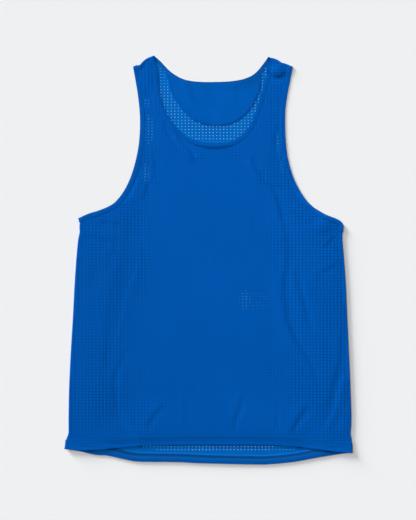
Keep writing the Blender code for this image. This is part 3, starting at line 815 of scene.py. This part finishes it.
def perforated(parts, origin, hem, plain):
    """Flat points and faces of a panel with its holes, and the numbers of its outline's parts.

    No hole lies nearer than the plain distance above the hem. The last result is 1 at the edges
    of holes.
    """
    outline = outline_of(parts)
    low, high = outline.min(axis=0), outline.max(axis=0)
    first = np.floor((low - origin) / PITCH) - 1
    across, up = np.ceil((high - low) / PITCH).astype(int) + 3
    i, j = np.meshgrid(np.arange(2 * across + 1), np.arange(2 * up + 1), indexing="ij")
    nodes = origin + (np.stack([i, j], axis=-1) / 2 + first - 0.5) * PITCH
    is_centre = (i % 2 == 1) & (j % 2 == 1)

    def clear(places, margin):
        flat = places.reshape(-1, 2)
        good = is_inside(outline, flat)
        good[good] = distance_to(closed(outline), flat[good]) > margin
        return good.reshape(places.shape[:-1])

    usable = clear(nodes, CELL_MARGIN)
    centres = nodes[1::2, 1::2]
    holed = above(hem, centres.reshape(-1, 2)).reshape(centres.shape[:-1]) > plain
    kept = holed.copy()
    for a, b in CELL_RING:
        kept &= usable[1 + a : 1 + a + 2 * across : 2, 1 + b : 1 + b + 2 * up : 2]
    near_edge = clear(centres, HOLE_RADIUS + HOLE_MARGIN) & ~kept & holed
    turns = np.arange(HOLE_SIDES) * 2 * pi / HOLE_SIDES
    circle = HOLE_RADIUS * np.stack([np.cos(turns), np.sin(turns)], axis=1)

    # Between the whole cells and the outline the cloth is filled with triangles
    around = np.pad(kept, 1)
    steps = [np.arange(2 * size + 1) for size in (across, up)]
    columns, rows = [((step + 1) // 2, step // 2 + 1) for step in steps]
    surrounded = np.all([around[np.ix_(a, b)] for a in columns for b in rows], axis=0)
    filled = usable & ~surrounded & ~is_centre
    number = np.full(usable.shape, -1)
    count = len(outline)
    number[filled] = count + np.arange(filled.sum())
    points = [*outline, *nodes[filled]]
    edges = ring_of(count)
    beside = around[:-1, 1:-1] != around[1:, 1:-1]
    below = around[1:-1, :-1] != around[1:-1, 1:]
    for half in (0, 1):
        ends = [slice(k, k + 2 * up, 2) for k in (half, half + 1)]
        edges += zip(*(number[::2, end][beside] for end in ends))
        ends = [slice(k, k + 2 * across, 2) for k in (half, half + 1)]
        edges += zip(*(number[end, ::2][below] for end in ends))
    rings_from = len(points)
    for centre in centres[near_edge]:
        ring = len(points) + np.arange(HOLE_SIDES)
        points += list(centre + circle)
        edges += zip(ring, np.roll(ring, -1))
    edges = [(int(a), int(b)) for a, b in edges]
    flat, triangles, where = triangulated(points, edges)
    middles = flat[triangles].mean(axis=1)
    cell = np.floor((middles - nodes[0, 0]) / PITCH).astype(int)
    cell = tuple(np.clip(cell, 0, np.array(kept.shape) - 1).T)
    from_centre = np.linalg.norm(middles - centres[cell], axis=1)
    in_hole = near_edge[cell] & (from_centre < HOLE_RADIUS * cos(pi / HOLE_SIDES))
    faces = triangles[is_inside(outline, middles) & ~kept[cell] & ~in_hole].tolist()

    node_at = np.full(usable.shape, -1)
    node_at[filled] = [where[k] for k in number[filled]]
    inner = usable & surrounded & ~is_centre
    node_at[inner] = len(flat) + np.arange(inner.sum())
    holes_from = len(flat) + int(inner.sum())
    holes = (centres[kept][:, None, :] + circle).reshape(-1, 2)
    flat = np.vstack([flat, nodes[inner], holes])
    at_hole = np.zeros(len(flat))
    at_hole[holes_from:] = 1
    at_hole[[where[k] for k in range(rings_from, len(points))]] = 1

    # Each whole cell is a ring of quads round its hole
    for k, (a, b) in enumerate(np.argwhere(kept)):
        outer = [int(node_at[2 * a + 1 + c, 2 * b + 1 + d]) for c, d in CELL_RING]
        ring = [holes_from + k * HOLE_SIDES + n for n in range(HOLE_SIDES)]
        faces += [(outer[n], outer[m], ring[m], ring[n]) for n, m in ring_of(HOLE_SIDES)]
    numbers, first = [], 0
    for kind, line in parts:
        numbers.append((kind, np.array([where[k] for k in range(first, first + len(line))])))
        first += len(line)
    return flat, faces, numbers, at_hole


def towards_key(outward):
    """How squarely an edge faces the key light, between 0 and 1."""
    return np.clip(outward @ KEY_SIDE, 0, 1)


def curled(cloth, numbers, lie, centre, radius, turn, steps, shade=0.0):
    """Curls an edge round the height that centre gives, with any painted shade given where it
    faces the key light.

    Returns the last flat line before it, the way out from there, its height, and all rows.
    """
    edge = cloth.places[numbers, :2]
    outward = -left_of(tangents(edge))
    rest = edge + outward * EDGE_REST
    top = lie(rest)
    middle = centre(rest, top)
    rows = [numbers, cloth.add(rest, top)]
    for step in range(1, steps + 1):
        angle = turn * step / steps
        flat = rest + outward * radius * sin(angle)
        dark = shade * sin(angle) * towards_key(outward)
        rows.append(cloth.add(flat, middle + (top - middle) * cos(angle), dark=dark))
    return rest, outward, top, rows


def roll_over(cloth, numbers, lie, lift):
    """Curls an edge round to the seam's height, where it meets the other panel, with painted shade
    where it faces the key light.
    """
    *_, rows = curled(
        cloth, numbers, lie, lambda rest, top: back_lie(rest) + lift,
        SIDE_ROLL, pi / 2, ROLL_STEPS, ROLL_PAINTED_SHADE,
    )
    cloth.strip(rows)


def turn_hem(cloth, numbers, lie, side):
    """Folds a hem's edge under (side -1) or over (side 1) its own panel."""
    rest, outward, top, rows = curled(
        cloth, numbers, lie, lambda rest, top: top + side * HEM_FOLD,
        HEM_FOLD, pi, HEM_FOLD_STEPS,
    )
    if side < 0:
        gaps = [gap.amount * bump((rest[:, 0] - gap.across) / gap.half_width) for gap in HEM_GAPS]
        shown = np.max([np.zeros(len(rest)), *gaps], axis=0)
        low = top - 2 * HEM_FOLD
        # Where the front hem gapes, its inner layer is painted dark for the shadow there
        for reach, drop in HEM_INNER:
            flat = rest + outward * ((HEM_FOLD + shown) * reach)[:, None]
            rows.append(cloth.add(flat, low - drop, dark=np.minimum(1, 2 * shown)))
        rows.append(cloth.add(rest, low - HEM_INNER_LAST))
    for layer in HEM_LAYERS:
        flat = rest - outward * layer.depth
        # The back's turned layer carries its seam and its painted shade
        looks = {"seam": layer.seam, "dark": layer.dark} if side > 0 else {}
        rows.append(cloth.add(flat, lie(flat) + side * 2 * HEM_FOLD, **looks))
    flat = rest - outward * (HEM_DEPTH + HEM_FOLD / 2)
    height = lie(flat) + side * (2 * HEM_FOLD - RAW_EDGE_DROP)
    rows.append(cloth.add(flat, height, dark=RAW_EDGE_SHADE))
    cloth.strip(rows)


# ---- materials


def new_material(name, **numbers):
    """A material with these numbers on its shader, and a short way to add nodes to it."""
    material = bpy.data.materials.new(name)
    material.use_nodes = True
    tree = material.node_tree
    shader = tree.nodes["Principled BSDF"]
    for key, value in numbers.items():
        shader.inputs[key.replace("_", " ")].default_value = value

    def add(kind, inputs=(), **settings):
        node = tree.nodes.new(kind) if isinstance(kind, str) else kind
        for key, value in settings.items():
            setattr(node, key, value)
        for key, value in dict(inputs).items():
            if isinstance(value, bpy.types.NodeSocket):
                tree.links.new(value, node.inputs[key])
            else:
                node.inputs[key].default_value = value
        return node

    return material, shader, add


def cloth_material(name, colour):
    """Fine knit with an uneven tone and painted light and shade, which follow the looks of its
    cloth.
    """
    material, shader, add = new_material(
        name, Roughness=0.72, Specular_IOR_Level=0.04, Specular_Tint=SHEEN,
        Sheen_Weight=0.05, Sheen_Roughness=0.5, Sheen_Tint=SHEEN,
    )
    place = add("ShaderNodeTexCoord").outputs["Object"]
    axes = add("ShaderNodeSeparateXYZ", {"Vector": place}).outputs

    def scaled(value, low, high, to_low, to_high):
        limits = {"From Min": low, "From Max": high, "To Min": to_low, "To Max": to_high}
        return add("ShaderNodeMapRange", {"Value": value, **limits}).outputs["Result"]

    def computed(operation, *values):
        return add("ShaderNodeMath", dict(enumerate(values)), operation=operation).outputs["Value"]

    def product(first, second):
        return computed("MULTIPLY", first, second)

    def mixed(share, first, second):
        colours = {"Fac": share, "Color1": first, "Color2": second}
        return add("ShaderNodeMixRGB", colours).outputs["Color"]

    def look(attribute):
        return add("ShaderNodeAttribute", attribute_name=attribute).outputs["Fac"]

    def rim(width):
        return scaled(look("rim"), 1 - width / RIM_RUN, 1.0, 0.0, 1.0)

    broad = add("ShaderNodeTexNoise", {"Vector": place, **BROAD_NOISE}).outputs["Fac"]
    fine = add("ShaderNodeTexNoise", {"Vector": place, **FINE_NOISE}).outputs["Fac"]
    # Painted light and shade across the garment, then uneven tone at random
    tone = product(scaled(axes["Y"], *TONE_UP), scaled(axes["X"], *TONE_ACROSS))
    tone = product(tone, scaled(axes["X"], *TONE_RIGHT))
    tone = product(tone, scaled(broad, *BROAD_TONES))
    tone = product(tone, scaled(fine, *FINE_TONES))
    # Painted light on single layers and some bindings, thread over seams, painted shade and glow
    # round the holes, and painted shade in gaps and on edges
    base = mixed(look("thin"), (*colour, 1), PAINTED_LIGHT_COLOUR)
    base = mixed(look("seam"), base, SEAM_BAND)
    base = mixed(product(rim(HOLE_RIM), look("deep")), base, HOLE_SHADE)
    base = mixed(product(rim(HOLE_GLOW), look("lit")), base, RIM_GLOW)
    base = mixed(look("dark"), base, GAP_SHADE)
    tone = product(tone, scaled(look("deep"), 0.0, 1.0, 1.0, 1 + DEEP_LIFT))
    toned = add("ShaderNodeVectorMath", {0: base, "Scale": tone}, operation="SCALE")

    ridges = []
    for axis, pitch in (("X", WALE_PITCH), ("Y", COURSE_PITCH)):
        ridges.append(computed("SINE", product(axes[axis], 2 * pi / (pitch * MM))))
    relief = {"Height": computed("ADD", *ridges), "Strength": 0.25, "Distance": 0.00008}
    bumps = add("ShaderNodeBump", relief)
    add(shader, {"Base Color": toned.outputs["Vector"], "Normal": bumps.outputs["Normal"]})
    return material


def thread_material(name, colour):
    """Twisted thread, slightly uneven in tone."""
    material, shader, add = new_material(
        name, Roughness=0.6, Specular_IOR_Level=0.2, Specular_Tint=SHEEN
    )
    place = add("ShaderNodeTexCoord").outputs["Object"]
    waves = {"Vector": place, "Scale": 900.0, "Distortion": 1.5}
    twist = add("ShaderNodeTexWave", waves, bands_direction="DIAGONAL").outputs["Fac"]
    colours = {"Color1": (*(0.8 * c for c in colour), 1), "Color2": (*colour, 1)}
    tone = add("ShaderNodeMixRGB", {"Fac": twist, **colours})
    add(shader, {"Base Color": tone.outputs["Color"]})
    return material


# ---- pieces


def place_object(name, data):
    thing = bpy.data.objects.new(name, data)
    bpy.context.scene.collection.objects.link(thing)
    return thing


def make_piece(name, places, faces, material, looks=()):
    """A mesh from points in millimetres, riding on the only body."""
    mesh = bpy.data.meshes.new(name)
    placed = np.array(places) * MM
    placed[:, 1] += LOWEST_UP
    mesh.from_pydata(placed.tolist(), [], faces)
    mesh.update()
    mesh.shade_smooth()
    for label, values in dict(looks).items():
        attribute = mesh.attributes.new(label, "FLOAT", "POINT")
        attribute.data.foreach_set("value", np.asarray(values, np.float32))
    mesh.materials.append(material)
    piece = place_object(name, mesh)
    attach(piece, "root")
    return piece


def cloth_piece(name, cloth, material):
    return make_piece(name, cloth.places, cloth.faces, material, cloth.looks)


def finished_panel(name, cloth, numbered_parts, lie, side, material):
    """A panel with its sides rolled and its hem turned under (side -1) or over (side 1)."""
    for kind, numbers in numbered_parts:
        if kind != "bound":
            cloth.looks["thin"][numbers] = 0
        if kind == "rolled":
            roll_over(cloth, numbers, lie, SIDE_SEAM_LIFT - side * SEAM_GAP)
        elif kind == "hem":
            turn_hem(cloth, numbers, lie, side)
    return cloth_piece(name, cloth, material)


def front_cloth(material):
    parts = panel_parts(front_hem, neck_front)
    flat, faces, numbered_parts, at_hole = perforated(parts, FRONT_HOLES_FROM, front_hem, 0.0)
    from_hem = above(front_hem, flat)
    off_hem = smoothstep((from_hem - HEM_DEPTH) / DEEP_HEM_REACH)
    # The holes get a painted glow where both panels' holes meet, and painted shade elsewhere,
    # where the front stands off
    lit = smoothstep(through(meeting(flat, MEETING_EDGE), *LIT_SPAN))
    deep = painted_hole_shade(flat) * off_hem * (1 - lit)
    band = HEM_BAND_TINT * between(from_hem, HEM_BAND)
    cloth = Cloth(faces)
    cloth.add(flat, front_lie(flat), rim=at_hole, deep=deep, lit=lit, seam=band)
    return finished_panel("front_cloth", cloth, numbered_parts, front_lie, -1, material)


def back_cloth(material):
    parts = panel_parts(back_hem, neck_back)
    flat, faces, numbered_parts, at_hole = perforated(parts, BACK_HOLES_FROM, back_hem, BACK_PLAIN)
    facing = np.vstack([facing_edge, neck_back.moved_in(neck_back.width)[::-1]])
    covers = (outline_of(panel_parts(front_hem, neck_front)), facing)
    # Painted lighter where a single layer lies on the pale surface, with painted glow round its
    # holes
    thin = 1.0 - np.any([is_inside(cover, flat) for cover in covers], axis=0)
    cloth = Cloth(faces)
    cloth.add(slid(tightened(flat, at_hole)), back_lie(flat), rim=at_hole, thin=thin, lit=thin)
    return finished_panel("back_cloth", cloth, numbered_parts, back_lie, 1, material)


def facing_cloth(material):
    """The half-moon inside the back of the neck, its lower edge turned under."""
    top = neck_back.moved_in(neck_back.width - FACING_TUCK)
    ends = facing_edge[0, 0] + FACING_MARGIN, facing_edge[-1, 0] - FACING_MARGIN
    top = top[between(top[:, 0], ends)]
    outline = np.vstack([inset(facing_edge, FACING_ROLL + EDGE_REST), top[::-1]])
    limits = zip(outline.min(axis=0), outline.max(axis=0))
    grid = [np.arange(low, high, FACING_GRID) for low, high in limits]
    inside = np.stack(np.meshgrid(*grid), axis=-1).reshape(-1, 2)
    inside = inside[is_inside(outline, inside)]
    inside = inside[distance_to(closed(outline), inside) > FACING_MARGIN]
    flat, triangles, where = triangulated([*outline, *inside], ring_of(len(outline)))
    cloth = Cloth(triangles[is_inside(outline, flat[triangles].mean(axis=1))].tolist())
    to_band = distance_to(neck_back.line, flat) - neck_back.width
    shade = fading(to_band / FACING_SHADE_REACH)
    shade *= smoothstep(through(flat[:, 0], *FACING_SHADE_SPAN))
    cloth.add(flat, facing_lie(flat), dark=FACING_SHADE * shade)
    *_, rows = curled(
        cloth, np.array([where[k] for k in range(len(facing_edge))]), facing_lie,
        lambda rest, top: top - FACING_DROP / 2, FACING_ROLL, pi, FACING_ROLL_STEPS,
    )
    cloth.strip(rows)
    return cloth_piece("facing_cloth", cloth, material)


# ---- bindings


def stand_along(edge):
    """How far a binding stands proud of its panel along its edge."""
    rise = np.zeros(len(edge.line))
    for stand in STANDS:
        away = np.linalg.norm(edge.line - (stand.across, stand.up), axis=1)
        rise += stand.rise * bump(away / stand.reach)
    return rise


def unevenness(edge):
    """How plump a binding is along its edge."""
    return 1 + PLUMP_SWING * wobble(edge.run, PLUMP_RUN, edge.width)


def plumped(shares, lifts, plump):
    """Lifts of a leaf, plumper away from its edge and its end."""
    return BINDING_HALF * lifts * np.where(between(shares, PLUMP_SPAN), plump, 1)


def outer_leaf(plump, stand):
    """Lifts of an outer leaf, which stands off its panel away from its edge."""
    raised = stand * smoothstep(OUTER_SHARES / PLUMP_SPAN[0]) * (OUTER_SHARES < 1)
    return plumped(OUTER_SHARES, OUTER_LIFTS, plump) + raised


def flat_leaf(end):
    """Lifts of an inner leaf that lies hidden on its panel."""
    return np.append(np.full(len(INNER_SHARES) - 1, BINDING_HALF), end)


def section(place, inward, width, normal, outer, inner):
    """One cross section of a folded binding: its outer leaf, the fold, and its inner leaf."""
    along = np.array([*inward, 0.0]) * width
    angles = pi * np.arange(1, BINDING_FOLD_STEPS) / BINDING_FOLD_STEPS
    fold_shares = OUTER_SHARES[-1] * (1 - np.sin(angles))
    fold = (outer[-1] - inner[0]) / 2 + (outer[-1] + inner[0]) / 2 * np.cos(angles)
    shares = np.concatenate([OUTER_SHARES, fold_shares, INNER_SHARES])[:, None]
    lifts = np.concatenate([outer, fold, -inner])[:, None]
    return place + along * shares + normal * lifts


def turn(front, back, heights, end):
    """Cross sections of the half turn at one end, from the front stretch round to the back one."""
    fold = front.inward[end]
    away = front.line[end] - front.line[1 if end == 0 else -2]
    outward = np.array([-fold[1], fold[0], 0.0])
    if outward[:2] @ away < 0:
        outward = -outward
    upper, lower = (height[end] for height in heights)
    centre = np.array([*(front.line[end] + back.line[end]) / 2, (upper + lower) / 2])
    leaf, last_leaf = outer_leaf(1.0, stand_along(front)[end]), BINDING_HALF * OUTER_LIFTS
    sections = []
    for done in np.arange(1, TURN_STEPS) / TURN_STEPS:
        normal = UP * cos(pi * done) + outward * sin(pi * done)
        place = centre + normal * (upper - lower) / 2
        outer, inner = leaf + (last_leaf - leaf) * done, flat_leaf(LEAF_END + LEAF_END_DROP * done)
        sections.append(section(place, fold, front.width, normal, outer, inner))
    return sections


def on_section(outer=(), fold=False, inner=()):
    """Which of a section's points something is on, from its parts."""
    outer = np.broadcast_to(outer if len(outer) else False, len(OUTER_SHARES))
    inner = np.broadcast_to(inner if len(inner) else False, len(INNER_SHARES))
    return np.concatenate([outer, np.full(BINDING_FOLD_STEPS - 1, fold), inner])


def binding(name, front, back, material):
    """A folded strip all the way round: along the front, over to the back, and home again."""
    heights = front.heights(front_lie), back.heights(back_lie)
    stand, last_leaf = stand_along(front), BINDING_HALF * OUTER_LIFTS
    places = np.column_stack([front.line, heights[0]])
    sections = []
    for place, inward, plump, rise in zip(places, front.inward, unevenness(front), stand):
        leaves = outer_leaf(plump, rise), flat_leaf(LEAF_END)
        sections.append(section(place, inward, front.width, UP, *leaves))
    sections += turn(front, back, heights, -1)
    places = np.column_stack([back.line, heights[1]])
    on_back = []
    for place, inward, plump in zip(places, back.inward, unevenness(back)):
        leaves = last_leaf, plumped(INNER_SHARES, INNER_LIFTS, plump)
        on_back.append(section(place, inward, back.width, -UP, *leaves))
    sections += on_back[::-1] + turn(front, back, heights, 0)[::-1]

    # Painted shade on its fold where it faces the key light, at its leaves' ends, at the neck
    # points and where it stands proud; painted light on leaves that face away from the key light,
    # and a painted highlight near the right underarm
    facing_front, facing_back = towards_key(-front.inward), towards_key(-back.inward)[::-1]
    turns = [np.full(TURN_STEPS - 1, facing_front[end]) for end in (-1, 0)]
    faced = np.concatenate([facing_front, turns[0], facing_back, turns[1]])
    edges = on_section(between(OUTER_SHARES, EDGE_SPAN), True, between(INNER_SHARES, EDGE_SPAN))
    dark = np.outer(ROLL_PAINTED_SHADE * faced, edges)
    thin, seam = np.zeros(dark.shape), np.zeros(dark.shape)

    def on_front(look, amounts, span):
        look[: len(front.line)] += np.outer(amounts, on_section(between(OUTER_SHARES, span)))

    on_front(dark, LEAF_END_PAINTED_SHADE * (towards_key(front.inward) + PROUD_END * stand), END_SPAN)
    on_front(dark, PROUD_SHADE * stand, PROUD_SPAN)
    on_front(thin, LEAF_GLOW * facing_front * np.maximum(0, 1 - stand), LEAF_GLOW_SPAN)
    if front is not back:
        for shade, run in zip(NECK_POINT_SHADES, (front.run, front.run[-1] - front.run)):
            on_front(dark, shade * bump(run / NECK_POINT_REACH), NECK_POINT_SPAN)
        first = len(front.line) + TURN_STEPS - 1
        shown = slice(first, first + len(back.line))
        inner = on_section(inner=between(INNER_SHARES, SEAM_SPAN))
        seam[shown] = SEAM_TINT * inner
        shade = SEAM_SHADE * smoothstep(through(back.line[::-1, 0], *SEAM_SHADE_SPAN))
        dark[shown] += np.outer(shade, inner)
    elif front.cloth_side > 0:
        glow = EDGE_GLOW * smoothstep(through(front.line[:, 1], *EDGE_GLOW_SPAN))
        on_front(thin, glow, GLOW_SPAN)

    cloth = Cloth()
    rows = []
    order = slice(None, None, -1 if front.cloth_side > 0 else 1)
    for k, points in enumerate(sections):
        looks = {"dark": dark[k, order], "thin": thin[k, order], "seam": seam[k, order]}
        rows.append(cloth.add(points[order, :2], points[order, 2], **looks))
    cloth.strip([*rows, rows[0]])
    return cloth_piece(name, cloth, material)


# ---- threads


def tube_faces(rings, sides, first=0):
    """Quads round a tube of rings of points."""
    faces = []
    for here in range(first, first + (rings - 1) * sides, sides):
        for n, m in ring_of(sides):
            faces.append((here + n, here + sides + n, here + sides + m, here + m))
    return faces


def stitch_shape():
    """One stitch along X, of unit half length and unit radius, as points and faces."""
    turns = np.arange(STITCH_SIDES) * 2 * pi / STITCH_SIDES
    points = [(at, r * cos(t), r * sin(t)) for at, r in STITCH_STATIONS for t in turns]
    numbers = list(range(len(points)))
    ends = [numbers[:STITCH_SIDES], numbers[: -STITCH_SIDES - 1 : -1]]
    return np.array(points), tube_faces(len(STITCH_STATIONS), STITCH_SIDES) + ends


def stitches(name, lines):
    """Separate stitches, joined in one mesh, along lines of points (across, up, height)."""
    shape, shape_faces = stitch_shape()
    shape = shape * (STITCH_LENGTH / 2, THREAD_RADIUS * STITCH_BREADTH, THREAD_RADIUS)
    points, faces = [], []
    for line in lines:
        places = resampled(line, STITCH_PITCH)
        ways = tangents(places)
        asides = unit(np.cross(UP, ways))
        for place, *axes in zip(places, ways, asides, np.cross(ways, asides)):
            faces += [tuple(len(points) + k for k in face) for face in shape_faces]
            points += list(place + shape @ np.array(axes))
    return make_piece(name, points, faces, blue_thread)


def looper_threads(name, line):
    """The underside of a double row of stitches: threads crossing from row to row."""
    points, faces = [], []
    turns = (np.arange(LOOPER_SIDES) + 0.5) * 2 * pi / LOOPER_SIDES
    places = resampled(line, STITCH_PITCH / 2)
    asides = np.cross(UP, tangents(places))
    for phase, lift in LOOPER_PHASES:
        swing = np.where(np.arange(len(places)) % 2 == 0, phase, -phase) * LOOPER_WIDTH / 2
        path = places + asides * swing[:, None] + UP * THREAD_RADIUS * lift
        faces += tube_faces(len(path), LOOPER_SIDES, len(points))
        for place, side in zip(path, unit(np.cross(UP, tangents(path)))):
            for t in turns:
                around = side * LOOPER_BREADTH * cos(t) + UP * sin(t)
                points.append(place + THREAD_RADIUS * around)
    return make_piece(name, points, faces, dull_thread)


def on_cloth(line, lie, lift):
    return np.column_stack([line, lie(line) + lift])


def along_binding(edge):
    """Where the stitches of a binding lie on its leaf."""
    heights = edge.heights(front_lie) + stand_along(edge) + STITCH_LIFT
    return np.column_stack([edge.moved_in(edge.width * STITCH_SHARE), heights])


def hem_row(hem, depth):
    line = inset(hem, depth)
    return line[np.abs(line[:, 0]) < HEM_ROW_END]


# ---- stage


def make_stage():
    """A pale floor, a soft light from above, a low one from the upper left, and the camera."""
    bpy.context.scene.view_settings.view_transform = "Standard"
    mesh = bpy.data.meshes.new("floor")
    sides = ((-1, -1), (1, -1), (1, 1), (-1, 1))
    corners = [(x * FLOOR_HALF, y * FLOOR_HALF, 0) for x, y in sides]
    mesh.from_pydata(corners, [], [(0, 1, 2, 3)])
    material, _, _ = new_material("floor", Base_Color=FLOOR, Roughness=1.0, Specular_IOR_Level=0.0)
    mesh.materials.append(material)
    floor = place_object("floor", mesh)

    for name, (share, elevation, azimuth, angle) in SUNS.items():
        elevation, azimuth = radians(elevation), radians(azimuth)
        sun = bpy.data.lights.new(name, "SUN")
        sun.energy = pi * share / sin(elevation)
        sun.angle = radians(angle)
        level = cos(elevation)
        way = (level * cos(azimuth), level * sin(azimuth), sin(elevation))
        place_object(name, sun).rotation_euler = Vector(way).to_track_quat("Z", "Y").to_euler()
    world = bpy.data.worlds.new("studio")
    world.use_nodes = True
    background = world.node_tree.nodes["Background"].inputs
    background["Color"].default_value = (1, 1, 1, 1)
    background["Strength"].default_value = SURROUND
    bpy.context.scene.world = world

    lens = bpy.data.cameras.new("camera")
    lens.lens = 85
    lens.sensor_fit = "VERTICAL"
    lens.sensor_height = 36
    camera = place_object("camera", lens)
    camera.location = CAMERA_PLACE
    bpy.context.scene.camera = camera


# ---- the singlet

make_stage()

front_net = cloth_material("front_net", CLOTH)
back_net = cloth_material("back_net", CLOTH)
binding_cloth = cloth_material("binding_cloth", BINDING)
plain_cloth = cloth_material("plain_cloth", FACING)
dull_thread = thread_material("dull_thread", THREAD)
blue_thread = thread_material("blue_thread", BLUE_THREAD)

back = back_cloth(back_net)
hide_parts("back_panel")
front = front_cloth(front_net)
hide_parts("front_panel")
facing = facing_cloth(plain_cloth)
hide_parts("back_neck_facing")
neck = binding("neck_band", neck_front, neck_back, binding_cloth)
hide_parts("neck_binding")
arm_left = binding("armhole_band_left", left_arm, left_arm, binding_cloth)
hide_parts("armhole_binding_left")
arm_right = binding("armhole_band_right", right_arm, right_arm, binding_cloth)
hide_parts("armhole_binding_right")

stitches("neck_stitches", [along_binding(neck_front)])
stitches("armhole_stitches", [along_binding(left_arm), along_binding(right_arm)])
front_rows = [on_cloth(hem_row(front_hem, depth), front_lie, ROW_LIFT) for depth in FRONT_HEM_ROWS]
stitches("front_hem_stitches", front_rows)
facing_row = on_cloth(inset(facing_edge, FACING_ROW), facing_lie, FACING_ROW_LIFT)
stitches("facing_stitches", [facing_row])
back_row = on_cloth(hem_row(back_hem, BACK_HEM_ROW), back_lie, 2 * HEM_FOLD)
looper_threads("back_hem_threads", back_row)
